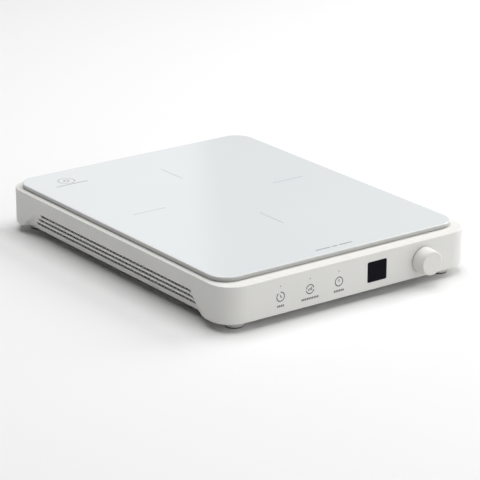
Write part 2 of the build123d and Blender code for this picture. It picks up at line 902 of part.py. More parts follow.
with BuildPart(fan_axis) as fan_rotor:
    with BuildSketch(fan_axis.offset(hub_bottom)):
        Circle(hub_radius)
    extrude(amount=hub_top - hub_bottom)
    fillet(fan_rotor.edges().group_by(Axis.Z)[0], hub_round)
    with BuildSketch(fan_axis.offset(hub_bottom + hub_wall)):
        Circle(hub_radius - hub_wall)
    extrude(amount=hub_top - hub_bottom - hub_wall, mode=Mode.SUBTRACT)
    with BuildSketch(fan_axis.offset(hub_bottom)):
        Circle(pin_radius)
    extrude(amount=pin_top - hub_bottom)
    with PolarLocations(0, blade_count):
        add(fan_blade.part)

fan_screws = screw_group(
    ground.offset(fan_top),
    fan_screw_places,
    small_screw_radius,
    fan_screw_length,
    small_head_radius,
    small_head_height,
)

# ---------------------------------------------------------------- coil
coil_inner = 34.0
coil_outer = 88.0
coil_height = 4.8
coil_turns = 18
carrier_hub = 31.0
carrier_rim_inner = 89.5
carrier_rim_outer = 98.0
carrier_arms = 8
carrier_arm_width = 14.0
sensor_hole = 10.0
ferrite_size = (54.0, 14.0)
ferrite_thickness = 3.5
ferrite_middle = 61.0
mica_thickness = 0.4
mica_bottom = 41.8
mica_radius = 93.0
arm_overlap = 4.0
winding_floor = 3.8
coil_screw_length = 12.0

coil_axis = Plane(origin=(zone[0], centre_y + zone[1], 0))
turn_width = (coil_outer - coil_inner) / coil_turns

with BuildPart() as coil_winding:
    with BuildSketch(Plane(origin=coil_axis.origin, x_dir=(1, 0, 0), z_dir=(0, -1, 0))):
        with Locations(((coil_inner + coil_outer) / 2, carrier_top + winding_floor / 2)):
            Rectangle(coil_outer - coil_inner - turn_width, winding_floor)
        for turn in range(coil_turns):
            with Locations(
                (coil_inner + (turn + 0.5) * turn_width, carrier_top + coil_height - turn_width / 2)
            ):
                Circle(turn_width / 2)
    revolve(axis=Axis(coil_axis.origin, (0, 0, 1)))

with BuildPart() as coil_carrier:
    with BuildSketch(coil_axis.offset(carrier_bottom)):
        Circle(carrier_rim_outer)
        Circle(carrier_rim_inner, mode=Mode.SUBTRACT)
        Circle(carrier_hub)
        with PolarLocations((carrier_hub + carrier_rim_inner) / 2, carrier_arms):
            Rectangle(carrier_rim_inner - carrier_hub + arm_overlap, carrier_arm_width)
        Circle(sensor_hole + running_fit, mode=Mode.SUBTRACT)
        with PolarLocations(carrier_screw_radius, 4, start_angle=45):
            Circle(small_clearance_radius, mode=Mode.SUBTRACT)
    extrude(amount=carrier_thickness)

coil_screws = screw_group(
    ground.offset(carrier_top),
    carrier_screw_places,
    small_screw_radius,
    coil_screw_length,
    small_head_radius,
    small_head_height,
)


def ferrite_bar(angle):
    """A flat ferrite bar under one arm of the coil carrier."""
    with BuildPart() as bar:
        with BuildSketch(coil_axis.offset(carrier_bottom - ferrite_thickness)):
            with PolarLocations(ferrite_middle, 1, start_angle=angle):
                RectangleRounded(*ferrite_size, 1.0)
        extrude(amount=ferrite_thickness)
    return bar


ferrite_bars = {f"ferrite_bar_{i + 1}": ferrite_bar(90 * i) for i in range(4)}

with BuildPart() as mica_sheet:
    with BuildSketch(coil_axis.offset(mica_bottom)):
        Circle(mica_radius)
        Circle(sensor_hole + 1, mode=Mode.SUBTRACT)
    extrude(amount=mica_thickness)

holder_bottom = 30.0
holder_top = 41.6
holder_collar_radius = sensor_hole + 3.0
holder_collar_height = 2.0
sensor_radius = 4.5

with BuildPart() as sensor_holder:
    with BuildSketch(coil_axis.offset(holder_bottom)):
        Circle(sensor_hole)
    extrude(amount=holder_top - holder_bottom)
    with BuildSketch(coil_axis.offset(carrier_top)):
        Circle(holder_collar_radius)
    extrude(amount=holder_collar_height)

with BuildPart() as temperature_sensor:
    with BuildSketch(coil_axis.offset(holder_top)):
        Circle(sensor_radius)
    extrude(amount=glass_top - glass_thickness - running_fit - holder_top)

# ---------------------------------------------------------------- wiring
terminal_block_place = (-gland_place[0], 145.0)
terminal_block_size = (30.0, 14.0)
terminal_block = block(
    place=terminal_block_place, size=terminal_block_size, bottom=base_top, height=12.0, corner=1.5
)

lead_radius = 1.3
lead_bend = 4.0
coil_lead_height = 38.0
terminal_top = main_board_top + terminal_height


def coil_lead(x):
    """A lead from the rim of the winding, over the carrier, down to its board terminal."""
    start_y = zone[1] - sqrt(coil_outer**2 - x**2)
    end_y = terminal_places[0][1]
    points = [(x, start_y, coil_lead_height), (x, end_y, coil_lead_height), (x, end_y, terminal_top)]
    return lead(points, lead_bend, lead_radius)


def supply_lead(x):
    """A lead along the floor of the case, from the mains terminals to the main board."""
    start_y = terminal_block_place[1] - terminal_block_size[1] / 2
    end_y = terminal_places[2][1]
    floor_z = base_top + lead_radius + post_gap
    high_z = terminal_top + 1.5 * lead_bend
    points = [
        (x, start_y, floor_z),
        (x, end_y + 5 * lead_bend, floor_z),
        (x, end_y + 3 * lead_bend, high_z),
        (x, end_y, high_z),
        (x, end_y, terminal_top),
    ]
    return lead(points, [lead_bend, lead_bend, 0.75 * lead_bend], lead_radius)


coil_lead_left = coil_lead(terminal_places[0][0])
coil_lead_right = coil_lead(terminal_places[1][0])
supply_lead_live = supply_lead(terminal_places[2][0])
supply_lead_neutral = supply_lead(terminal_places[3][0])

sensor_lead_x = -6.0
sensor_lead_end = -84.0
sensor_lead_height = 26.0
sensor_lead_radius = 1.0
sensor_lead = lead(
    [
        (sensor_lead_x, zone[1], holder_bottom),
        (sensor_lead_x, zone[1], sensor_lead_height),
        (sensor_lead_x, sensor_lead_end, sensor_lead_height),
        (sensor_lead_x, sensor_lead_end, main_board_top),
    ],
    [0.75 * lead_bend, lead_bend],
    sensor_lead_radius,
)

fan_lead_y = -100.0
fan_lead_end = -39.0
fan_lead_height = main_board_top + 3.4
fan_lead_radius = 0.9
fan_lead = lead(
    [
        (fan_place[0] + fan_size / 2, fan_lead_y, fan_lead_height),
        (fan_lead_end, fan_lead_y, fan_lead_height),
        (fan_lead_end, fan_lead_y, main_board_top),
    ],
    lead_bend / 2,
    fan_lead_radius,
)

ribbon_width = 14.0
ribbon_thickness = 0.8
ribbon_x = 48.0
ribbon_height = 27.0
ribbon_start_y = front_y - control_front + board_thickness
ribbon_end_y = -152.0

with BuildPart() as control_ribbon:
    with BuildLine() as ribbon_path:
        FilletPolyline(
            (ribbon_x, centre_y + ribbon_start_y, ribbon_height),
            (ribbon_x, centre_y + ribbon_end_y, ribbon_height),
            (ribbon_x, centre_y + ribbon_end_y, main_board_top),
            radius=lead_bend,
        )
    with BuildSketch(Plane(origin=ribbon_path.line @ 0, x_dir=(1, 0, 0), z_dir=(0, 1, 0))):
        Rectangle(ribbon_width, ribbon_thickness)
    sweep(path=ribbon_path.wire())

# ---------------------------------------------------------------- one STEP file a piece
pieces = {
    "upper_housing": upper_housing,
    "base_plate": base_plate,
    "base_screws": base_screws,
    **foot_pads,
    "glass_plate": glass_plate,
    "glass_seal": glass_seal,
    "vent_guard_left": vent_guard_left,
    "vent_guard_right": vent_guard_right,
    "cord_gland": cord_gland,
    "control_knob": control_knob,
    "encoder_shaft": encoder_shaft,
    "encoder_body": encoder_body,
    "display_window": display_window,
    "display_module": display_module,
    "led_light_guide": led_light_guide,
    **touch_springs,
    "control_board": control_board,
    "control_board_screws": control_board_screws,
    "controller_chip": controller_chip,
    "main_board": main_board,
    "main_board_screws": main_board_screws,
    "heat_sink": heat_sink,
    "power_transistor": power_transistor,
    "bridge_rectifier": bridge_rectifier,
    "resonance_capacitor": resonance_capacitor,
    "filter_capacitor": filter_capacitor,
    "electrolytic_capacitor": electrolytic_capacitor,
    "supply_transformer": supply_transformer,
    "input_choke": input_choke,
    "main_fuse": main_fuse,
    "buzzer": buzzer,
    "board_terminals": board_terminals,
    "fan_frame": fan_frame,
    "fan_rotor": fan_rotor,
    "fan_screws": fan_screws,
    "coil_winding": coil_winding,
    "coil_carrier": coil_carrier,
    "coil_screws": coil_screws,
    **ferrite_bars,
    "mica_sheet": mica_sheet,
    "sensor_holder": sensor_holder,
    "temperature_sensor": temperature_sensor,
    "terminal_block": terminal_block,
    "coil_lead_left": coil_lead_left,
    "coil_lead_right": coil_lead_right,
    "supply_lead_live": supply_lead_live,
    "supply_lead_neutral": supply_lead_neutral,
    "sensor_lead": sensor_lead,
    "fan_lead": fan_lead,
    "control_ribbon": control_ribbon,
}

os.makedirs("parts", exist_ok=True)
for name, piece in pieces.items():
    piece.part.label = name
    export_step(piece.part, f"parts/{name}.step")
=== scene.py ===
import json
from math import cos, pi, radians, sin

import bmesh
import bpy
from mathutils import Matrix, Vector


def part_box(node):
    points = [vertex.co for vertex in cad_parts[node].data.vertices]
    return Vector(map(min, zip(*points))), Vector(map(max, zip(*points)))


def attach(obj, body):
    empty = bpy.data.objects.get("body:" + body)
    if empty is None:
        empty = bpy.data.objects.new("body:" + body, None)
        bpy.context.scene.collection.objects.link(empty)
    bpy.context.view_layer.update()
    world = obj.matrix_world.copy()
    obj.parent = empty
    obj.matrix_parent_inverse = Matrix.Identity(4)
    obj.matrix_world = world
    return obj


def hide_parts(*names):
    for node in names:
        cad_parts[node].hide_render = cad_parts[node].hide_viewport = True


# The looks of a portable induction cooktop: materials for the CAD parts, a finer glass plate, and the
# marks printed on the glass and on the front face, with a camera, lights and a floor to show them.

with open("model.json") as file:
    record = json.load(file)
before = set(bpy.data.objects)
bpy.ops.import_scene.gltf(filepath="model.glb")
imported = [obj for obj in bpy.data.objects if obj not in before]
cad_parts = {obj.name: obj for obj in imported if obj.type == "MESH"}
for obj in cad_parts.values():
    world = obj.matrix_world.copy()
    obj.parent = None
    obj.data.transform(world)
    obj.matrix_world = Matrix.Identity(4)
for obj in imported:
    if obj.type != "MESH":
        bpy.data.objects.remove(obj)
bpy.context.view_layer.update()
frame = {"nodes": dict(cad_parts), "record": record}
nodes = frame["nodes"]
scene = bpy.context.scene
mm = 0.001

# ---------------------------------------------------------------- camera
camera_azimuth = radians(-36.323)
camera_elevation = radians(19.541)
camera_roll = radians(0.166)
camera_distance = 2.2307
camera_lens = 179.07
camera_sensor = 36.0
camera_near = 0.05
camera_far = 50.0
housing_low, housing_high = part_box("upper_housing")
housing_centre = (housing_low + housing_high) / 2
aim = Vector((2.2 * mm, housing_centre.y - 7.2 * mm, 10.0 * mm))


def add_camera():
    """The camera at the photograph's angle."""
    data = bpy.data.cameras.new("camera")
    data.lens = camera_lens
    data.sensor_width = camera_sensor
    data.clip_start = camera_near
    data.clip_end = camera_far
    camera = bpy.data.objects.new("camera", data)
    scene.collection.objects.link(camera)
    pitch = Matrix.Rotation(radians(90) - camera_elevation, 3, "X")
    level = Matrix.Rotation(camera_azimuth, 3, "Z") @ pitch
    turned = level @ Matrix.Rotation(camera_roll, 3, "Z")
    back = level @ Vector((0, 0, 1))
    camera.matrix_world = Matrix.Translation(aim + camera_distance * back) @ turned.to_4x4()
    scene.camera = camera


add_camera()

# ---------------------------------------------------------------- light and floor
scene.view_settings.view_transform = "Standard"
world_strength = 0.06
floor_reach = 30.0
floor_colour = (0.86, 0.86, 0.86)
floor_rough = 0.9
lights = {
    "overhead_box": {"place": (0.0, 0.2, 2.2), "size": 2.4, "power": 49},
    "right_box": {"place": (2.2, -0.2, 1.3), "size": 1.8, "power": 42},
    "front_box": {"place": (0.9, -2.2, 1.0), "size": 1.6, "power": 15.8},
    "rear_box": {"place": (0.92, 2.27, 0.87), "size": 1.1, "power": 1.7},
}


def add_area_light(name, place, size, power):
    """A soft square light at place, turned towards the object."""
    data = bpy.data.lights.new(name, "AREA")
    data.shape = "SQUARE"
    data.size = size
    data.energy = power
    light = bpy.data.objects.new(name, data)
    scene.collection.objects.link(light)
    light.location = place
    light.rotation_euler = (housing_centre - Vector(place)).to_track_quat("-Z", "Y").to_euler()


def add_world(strength):
    """An even pale surround."""
    world = bpy.data.worlds.new("world")
    world.use_nodes = True
    background = world.node_tree.nodes["Background"]
    background.inputs["Color"].default_value = (1, 1, 1, 1)
    background.inputs["Strength"].default_value = strength
    scene.world = world


def add_floor():
    """A plain pale floor at the height of the feet."""
    mesh = bpy.data.meshes.new("floor")
    corners = [(x * floor_reach, y * floor_reach, 0) for x, y in ((-1, -1), (1, -1), (1, 1), (-1, 1))]
    mesh.from_pydata(corners, [], [(0, 1, 2, 3)])
    floor = bpy.data.objects.new("floor", mesh)
    scene.collection.objects.link(floor)
    material = bpy.data.materials.new("floor_paint")
    material.use_nodes = True
    shader = material.node_tree.nodes["Principled BSDF"]
    shader.inputs["Base Color"].default_value = (*floor_colour, 1)
    shader.inputs["Roughness"].default_value = floor_rough
    mesh.materials.append(material)


add_floor()
add_world(world_strength)
for name, light in lights.items():
    add_area_light(name, **light)


# ---------------------------------------------------------------- material kit
class Surface:
    """A procedural material: one Principled shader and the textures that feed it."""

    def __init__(self, name, **sockets):
        self.material = bpy.data.materials.new(name)
        self.material.use_nodes = True
        self.tree = self.material.node_tree
        self.shader = self.tree.nodes["Principled BSDF"]
        self.place = self.node("ShaderNodeTexCoord").outputs["Object"]
        for socket, value in sockets.items():
            self.shader.inputs[socket.replace("_", " ")].default_value = value

    def node(self, kind, **settings):
        """A new node with the given settings."""
        made = self.tree.nodes.new(kind)
        for setting, value in settings.items():
            setattr(made, setting, value)
        return made

    def link(self, source, socket):
        """Feed the output source into the socket."""
        self.tree.links.new(source, socket)

    def stretched(self, stretch):
        """Object coordinates scaled by stretch along each axis."""
        mapping = self.node("ShaderNodeMapping")
        mapping.inputs["Scale"].default_value = stretch
        self.link(self.place, mapping.inputs["Vector"])
        return mapping.outputs["Vector"]

    def noise(self, size, detail=2.0, stretch=None):
        """A soft random pattern with features of the given size in metres."""
        texture = self.node("ShaderNodeTexNoise")
        texture.inputs["Scale"].default_value = 1 / size
        texture.inputs["Detail"].default_value = detail
        place = self.stretched(stretch) if stretch else self.place
        self.link(place, texture.inputs["Vector"])
        return texture.outputs["Fac"]

    def cells(self, size):
        """Distance from the middle of random cells of the given size in metres."""
        texture = self.node("ShaderNodeTexVoronoi")
        texture.inputs["Scale"].default_value = 1 / size
        self.link(self.place, texture.inputs["Vector"])
        return texture.outputs["Distance"]

    def spread(self, source, low, high, start=0.0, end=1.0):
        """The source's start to end range as low to high."""
        spread = self.node("ShaderNodeMapRange")
        spread.inputs["From Min"].default_value = start
        spread.inputs["From Max"].default_value = end
        spread.inputs["To Min"].default_value = low
        spread.inputs["To Max"].default_value = high
        self.link(source, spread.inputs["Value"])
        return spread.outputs["Result"]

    def blend(self, mask, first, second):
        """A colour between first and second: each is a colour or an output."""
        mix = self.node("ShaderNodeMix", data_type="RGBA")
        self.link(mask, mix.inputs["Factor"])
        for letter, colour in (("A", first), ("B", second)):
            socket = next(s for s in mix.inputs if s.name == letter and s.type == "RGBA")
            if isinstance(colour, tuple):
                socket.default_value = (*colour, 1)
            else:
                self.link(colour, socket)
        return next(s for s in mix.outputs if s.type == "RGBA")

    def mottle(self, mask, colour, dark, light):
        """The colour, from dark to light times as bright as the mask goes from 0 to 1."""
        return self.blend(mask, shade(colour, dark), shade(colour, light))

    def edge(self, radius, sharp=0.75, flat=0.995):
        """1 on outer and inner edges within radius, 0 on flat areas.

        The rounded and the real normal lie together where it is flat. Sharp and flat are the
        cosines between them that count as a full edge and as none.
        """
        bevel = self.node("ShaderNodeBevel", samples=4)
        bevel.inputs["Radius"].default_value = radius
        normal = self.node("ShaderNodeNewGeometry").outputs["Normal"]
        dot = self.node("ShaderNodeVectorMath", operation="DOT_PRODUCT")
        self.link(bevel.outputs["Normal"], dot.inputs[0])
        self.link(normal, dot.inputs[1])
        return self.spread(dot.outputs["Value"], low=1.0, high=0.0, start=sharp, end=flat)

    def facing_up(self, start, end):
        """0 where the surface's upward lean is below start, 1 above end."""
        normal = self.node("ShaderNodeNewGeometry").outputs["Normal"]
        split = self.node("ShaderNodeSeparateXYZ")
        self.link(normal, split.inputs["Vector"])
        return self.spread(split.outputs["Z"], low=0.0, high=1.0, start=start, end=end)

    def height(self, start, end):
        """0 below the height start and 1 above the height end, in metres."""
        split = self.node("ShaderNodeSeparateXYZ")
        self.link(self.place, split.inputs["Vector"])
        return self.spread(split.outputs["Z"], low=0.0, high=1.0, start=start, end=end)

    def colour(self, source):
        """The base colour comes from source."""
        self.link(source, self.shader.inputs["Base Color"])

    def roughness(self, source, low, high, start=0.0, end=1.0):
        """The roughness goes from low to high as source goes from start to end."""
        self.link(self.spread(source, low, high, start, end), self.shader.inputs["Roughness"])

    def bump(self, source, depth):
        """Relief of the given depth in metres."""
        bump = self.node("ShaderNodeBump")
        bump.inputs["Distance"].default_value = depth
        self.link(source, bump.inputs["Height"])
        self.link(bump.outputs["Normal"], self.shader.inputs["Normal"])


def shade(colour, factor):
    """The colour made lighter or darker."""
    return tuple(min(1.0, part * factor) for part in colour)


# ---------------------------------------------------------------- materials
def moulded_plastic(name, colour, rough=0.5, grain=0.45 * mm, depth=0.014 * mm, worn=1.06):
    """Injection-moulded plastic: spark-eroded grain, faint flow marks and rubbed edges."""
    surface = Surface(name)
    flow = surface.noise(38 * mm, detail=3.0)
    body = surface.mottle(flow, colour, dark=0.975, light=1.02)
    edge = surface.edge(0.9 * mm)
    surface.colour(surface.blend(edge, body, shade(colour, worn)))
    patches = surface.noise(6 * mm, detail=4.0)
    surface.roughness(patches, low=rough - 0.06, high=rough + 0.06, start=0.3, end=0.7)
    surface.bump(surface.noise(grain, detail=3.0), depth)
    return surface.material


def printed_glass(name, colour):
    """Glass-ceramic with a white print: clean top, grey see-through sides with painted shade darkening
    them towards the bottom, polished rim.
    """
    surface = Surface(name, IOR=1.52)
    # The sides' grey is the glass edge's own tone. Their darker bottom is painted shade where the plate
    # sits on the housing, lightening upwards to the polished rim.
    side_painted_shade = (0.42, 0.42, 0.41)
    side_high = (0.62, 0.62, 0.60)
    polished = 0.8 * mm
    glass_low, glass_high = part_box("glass_plate")
    shade_fade = surface.height(start=glass_low.z, end=glass_high.z - polished)
    side = surface.blend(shade_fade, side_painted_shade, side_high)
    cloud = surface.noise(120 * mm, detail=2.0)
    top = surface.mottle(cloud, colour, dark=0.985, light=1.01)
    surface.colour(surface.blend(surface.facing_up(start=0.3, end=0.9), side, top))
    smudge = surface.noise(40 * mm, detail=3.0)
    surface.roughness(smudge, low=0.127, high=0.139, start=0.35, end=0.7)
    surface.bump(surface.noise(60 * mm, detail=1.0), 0.002 * mm)
    return surface.material


def print_ink(name, colour, rough):
    """Screen-printed ink, with pinholes and an uneven film."""
    surface = Surface(name)
    film = surface.noise(0.5 * mm, detail=4.0)
    surface.colour(surface.mottle(film, colour, dark=0.9, light=1.1))
    surface.roughness(film, low=rough * 0.9, high=rough * 1.1)
    surface.bump(film, 0.003 * mm)
    return surface.material


def gloss_lens(name, colour):
    """A smooth dark lens with fine wiping haze."""
    surface = Surface(name, Specular_IOR_Level=0.05)
    haze = surface.noise(3 * mm, detail=5.0, stretch=(1, 1, 4))
    surface.colour(surface.mottle(haze, colour, dark=0.8, light=1.2))
    surface.roughness(haze, low=0.08, high=0.16)
    surface.bump(surface.noise(0.8 * mm), 0.0006 * mm)
    return surface.material


def milky_plastic(name, colour):
    """Light-guiding plastic: cloudy, smooth and a little see-through."""
    surface = Surface(name, Subsurface_Weight=0.15, Subsurface_Scale=1 * mm)
    cloud = surface.noise(1.2 * mm, detail=3.0)
    surface.colour(surface.mottle(cloud, colour, dark=0.92, light=1.05))
    surface.roughness(cloud, low=0.2, high=0.32)
    surface.bump(cloud, 0.004 * mm)
    return surface.material


def rubber(name, colour, rough=0.72):
    """Matte rubber with fine pitting and a chalky bloom."""
    surface = Surface(name, Specular_IOR_Level=0.3)
    bloom = surface.noise(4 * mm, detail=4.0)
    surface.colour(surface.mottle(bloom, colour, dark=0.85, light=1.2))
    surface.roughness(bloom, low=rough - 0.08, high=rough + 0.1)
    surface.bump(surface.cells(0.3 * mm), 0.012 * mm)
    return surface.material


def metal(name, colour, rough=0.35, stretch=(1, 1, 1), grain=0.4 * mm):
    """Bare or plated metal with drawn or cast marks; stretch sets their direction."""
    surface = Surface(name, Metallic=1.0)
    lines = surface.noise(grain, detail=4.0, stretch=stretch)
    stain = surface.noise(5 * mm, detail=3.0)
    body = surface.mottle(lines, colour, dark=0.88, light=1.06)
    stained = surface.spread(stain, low=0.0, high=0.35, start=0.5, end=0.8)
    surface.colour(surface.blend(stained, body, shade(colour, 0.75)))
    surface.roughness(lines, low=rough - 0.1, high=rough + 0.12)
    surface.bump(lines, 0.006 * mm)
    return surface.material


def epoxy(name, colour, rough=0.4):
    """Moulded component body: fine matte skin, glossier high spots."""
    surface = Surface(name)
    skin = surface.noise(0.25 * mm, detail=3.0)
    tone = surface.noise(3 * mm, detail=2.0)
    surface.colour(surface.mottle(tone, colour, dark=0.8, light=1.25))
    surface.roughness(skin, low=rough - 0.12, high=rough + 0.15)
    surface.bump(skin, 0.008 * mm)
    return surface.material


def insulation(name, colour):
    """Wire covering: smooth, slightly ribbed by the strands inside."""
    surface = Surface(name, Specular_IOR_Level=0.4)
    strands = surface.noise(0.5 * mm, detail=1.0)
    surface.colour(surface.mottle(surface.noise(6 * mm), colour, dark=0.88, light=1.1))
    surface.roughness(strands, low=0.4, high=0.55)
    surface.bump(strands, 0.03 * mm)
    return surface.material


def circuit_board(name, colour):
    """Solder mask over copper tracks, with tinned pads."""
    surface = Surface(name, Coat_Weight=0.3, Coat_Roughness=0.2)
    bricks = surface.node("ShaderNodeTexBrick", offset=0.37, squash=1.6, squash_frequency=3)
    bricks.inputs["Scale"].default_value = 1 / (14 * mm)
    bricks.inputs["Mortar Size"].default_value = 0.06
    surface.link(surface.place, bricks.inputs["Vector"])
    tracks = bricks.outputs["Fac"]
    body = surface.blend(tracks, shade(colour, 1.35), shade(colour, 0.8))
    pads = surface.spread(surface.cells(5.1 * mm), low=1.0, high=0.0, start=0.1, end=0.12)
    tin = (0.62, 0.62, 0.6)
    surface.colour(surface.blend(pads, body, tin))
    surface.roughness(surface.noise(2 * mm), low=0.3, high=0.45)
    surface.bump(tracks, 0.03 * mm)
    return surface.material


def stranded_copper(name, colour):
    """Enamelled litz wire: fine twisted strands along each turn."""
    surface = Surface(name, Metallic=0.9, Coat_Weight=0.5, Coat_Roughness=0.15)
    wave = surface.node("ShaderNodeTexWave", wave_type="RINGS", rings_direction="Z")
    wave.inputs["Scale"].default_value = 1 / (9 * mm)
    wave.inputs["Distortion"].default_value = 2.5
    wave.inputs["Detail"].default_value = 3.0
    surface.link(surface.place, wave.inputs["Vector"])
    strands = wave.outputs["Fac"]
    surface.colour(surface.mottle(strands, colour, dark=0.6, light=1.15))
    surface.roughness(strands, low=0.28, high=0.45)
    surface.bump(strands, 0.08 * mm)
    return surface.material


def sintered(name, colour, speck, rough=0.6):
    """Pressed and fired grains, with a paler or darker speck."""
    surface = Surface(name)
    grains = surface.cells(0.45 * mm)
    tone = surface.noise(7 * mm, detail=4.0)
    body = surface.mottle(tone, colour, dark=0.85, light=1.15)
    specks = surface.spread(grains, low=0.5, high=0.0, start=0.0, end=0.35)
    surface.colour(surface.blend(specks, body, speck))
    surface.roughness(grains, low=rough - 0.12, high=rough + 0.12)
    surface.bump(grains, 0.02 * mm)
    return surface.material


def slot_colour(slot):
    """The record's own colour for a slot."""
    return tuple(slot_colours[slot][:3])


slot_colours = {m["slot"]: m["base_color"] for m in frame["record"]["materials"]}
node_slots = {s["node"]: s["material_slot"] for s in frame["record"]["subparts"]}
housing_white = (0.80, 0.795, 0.767)
glass_white = (0.79, 0.815, 0.825)
along_y = (1, 0.04, 1)
wires = ("wire_white", "wire_brown", "wire_blue", "wire_red", "wire_grey")
materials = {
    "housing_plastic": moulded_plastic("housing_plastic", housing_white),
    "base_plastic": moulded_plastic("base_plastic", (0.78, 0.775, 0.755), rough=0.58, grain=0.6 * mm),
    "guard_plastic": moulded_plastic("guard_plastic", (0.40, 0.40, 0.39), rough=0.6),
    "knob_plastic": moulded_plastic("knob_plastic", (0.77, 0.765, 0.735), rough=0.42, grain=0.3 * mm),
    "gland_plastic": moulded_plastic("gland_plastic", (0.66, 0.66, 0.65), rough=0.5),
    "white_glass": printed_glass("white_glass", glass_white),
    "display_black": gloss_lens("display_black", (0.004, 0.004, 0.008)),
    "clear_plastic": milky_plastic("clear_plastic", (0.36, 0.36, 0.35)),
    "seal_rubber": rubber("seal_rubber", (0.50, 0.50, 0.49)),
    "foot_rubber": rubber("foot_rubber", (0.10, 0.10, 0.10)),
    "steel": metal("steel", slot_colour("steel"), rough=0.32),
    "aluminium": metal("aluminium", slot_colour("aluminium"), stretch=along_y),
    "brass": metal("brass", slot_colour("brass"), rough=0.3),
    "component_metal": metal("component_metal", slot_colour("component_metal"), rough=0.3),
    "copper": stranded_copper("copper", slot_colour("copper")),
    "circuit_board": circuit_board("circuit_board", slot_colour("circuit_board")),
    "component_black": epoxy("component_black", (0.025, 0.025, 0.027)),
    "component_blue": epoxy("component_blue", slot_colour("component_blue"), rough=0.3),
    "component_yellow": epoxy("component_yellow", slot_colour("component_yellow"), rough=0.35),
    "fan_plastic": moulded_plastic("fan_plastic", (0.035, 0.035, 0.037), rough=0.45, worn=1.6),
    "carrier_plastic": moulded_plastic("carrier_plastic", (0.07, 0.07, 0.07), rough=0.6, worn=1.4),
    "ceramic_white": sintered("ceramic_white", slot_colour("ceramic_white"), (0.7, 0.69, 0.65), rough=0.3),
    "ferrite": sintered("ferrite", (0.06, 0.06, 0.065), (0.16, 0.16, 0.17)),
    "mica": sintered("mica", slot_colour("mica"), (0.9, 0.86, 0.74), rough=0.4),
    **{wire: insulation(wire, slot_colour(wire)) for wire in wires},
}
for name, node in nodes.items():
    for slot in node.material_slots:
        slot.material = materials[node_slots[name]]


# ---------------------------------------------------------------- mesh kit
crease_angle = radians(35)
print_film = 0.03 * mm
print_root = 0.02 * mm


def add_piece(name, mesh_data, slot, material=None, body="cooktop"):
    """A finished mesh as a piece that rides on a body."""
    mesh = bpy.data.meshes.new(name)
    mesh_data.to_mesh(mesh)
    mesh_data.free()
    piece = bpy.data.objects.new(name, mesh)
    scene.collection.objects.link(piece)
    mesh.materials.append(material or materials[slot])
    for polygon in mesh.polygons:
        polygon.use_smooth = True
    mesh.set_sharp_from_angle(angle=crease_angle)
    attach(piece, body)
    return piece


def rounded_outline(half_width, half_depth, radius, steps=14):
    """Points round a rectangle with rounded corners, anticlockwise."""
    points = []
    for corner, (sx, sy) in enumerate(((1, 1), (-1, 1), (-1, -1), (1, -1))):
        for i in range(steps + 1):
            angle = pi / 2 * (corner + i / steps)
            x = sx * (half_width - radius) + radius * cos(angle)
            y = sy * (half_depth - radius) + radius * sin(angle)
            points.append((x, y))
    return points


def skin_rings(mesh_data, rings):
    """Quads between rings of vertices, and one face on each end."""
    count = len(rings[0])
    for lower, upper in zip(rings, rings[1:]):
        for i in range(count):
            j = (i + 1) % count
            mesh_data.faces.new((lower[i], lower[j], upper[j], upper[i]))
    mesh_data.faces.new(list(reversed(rings[0])))
    mesh_data.faces.new(rings[-1])


class PrintPlane:
    """A flat place for printed marks: every mark is a thin closed ribbon on it."""

    def __init__(self, origin, across, up):
        self.origin = Vector(origin)
        self.across = Vector(across)
        self.up = Vector(up)
        self.out = self.across.cross(self.up)
        self.mesh_data = bmesh.new()

    def station(self, point, side, half_width):
        """The four vertices of a ribbon at one point of its line, rooted in the surface."""
        made = []
        for lift in (-print_root, print_film):
            for way in (-1, 1):
                flat = point + side * (way * half_width)
                place = self.origin + self.across * flat.x + self.up * flat.y + self.out * lift
                made.append(self.mesh_data.verts.new(place))
        return made

    def ribbon(self, points, width, closed=False):
        """A printed line of the given width through 2-D points."""
        points = [Vector(p) for p in points]
        count = len(points)
        stations = []
        for i, point in enumerate(points):
            before = points[i - 1] if closed or i > 0 else point
            after = points[(i + 1) % count] if closed or i < count - 1 else point
            along = (after - before).normalized()
            side = Vector((-along.y, along.x))
            stations.append(self.station(point, side, width / 2))
        pairs = list(zip(stations, stations[1:]))
        if closed:
            pairs.append((stations[-1], stations[0]))
        for a, b in pairs:
            for i, j in ((0, 1), (1, 3), (3, 2), (2, 0)):
                self.mesh_data.faces.new((a[i], b[i], b[j], a[j]))
        if not closed:
            for end in (stations[0], stations[-1]):
                self.mesh_data.faces.new((end[0], end[1], end[3], end[2]))

    def arc(self, centre, radius, start, end, width, steps=40):
        """Part of a ring, from start to end in degrees."""
        whole = end - start >= 360
        count = steps if whole else steps + 1
        points = []
        for i in range(count):
            angle = radians(start + (end - start) * i / steps)
            points.append((centre[0] + radius * cos(angle), centre[1] + radius * sin(angle)))
        self.ribbon(points, width, closed=whole)

    def finish(self, name, slot, colour, rough):
        """All the marks made so far as one printed piece."""
        bmesh.ops.recalc_face_normals(self.mesh_data, faces=self.mesh_data.faces)
        return add_piece(name, self.mesh_data, slot, material=print_ink(name + "_ink", colour, rough))


# ---------------------------------------------------------------- glass plate
glass_low, glass_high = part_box("glass_plate")
glass_corner = 19.0 * mm
glass_upper_round = 0.9 * mm
glass_lower_chamfer = 0.3 * mm
glass_round_steps = 6
glass_top_margin = 2 * mm


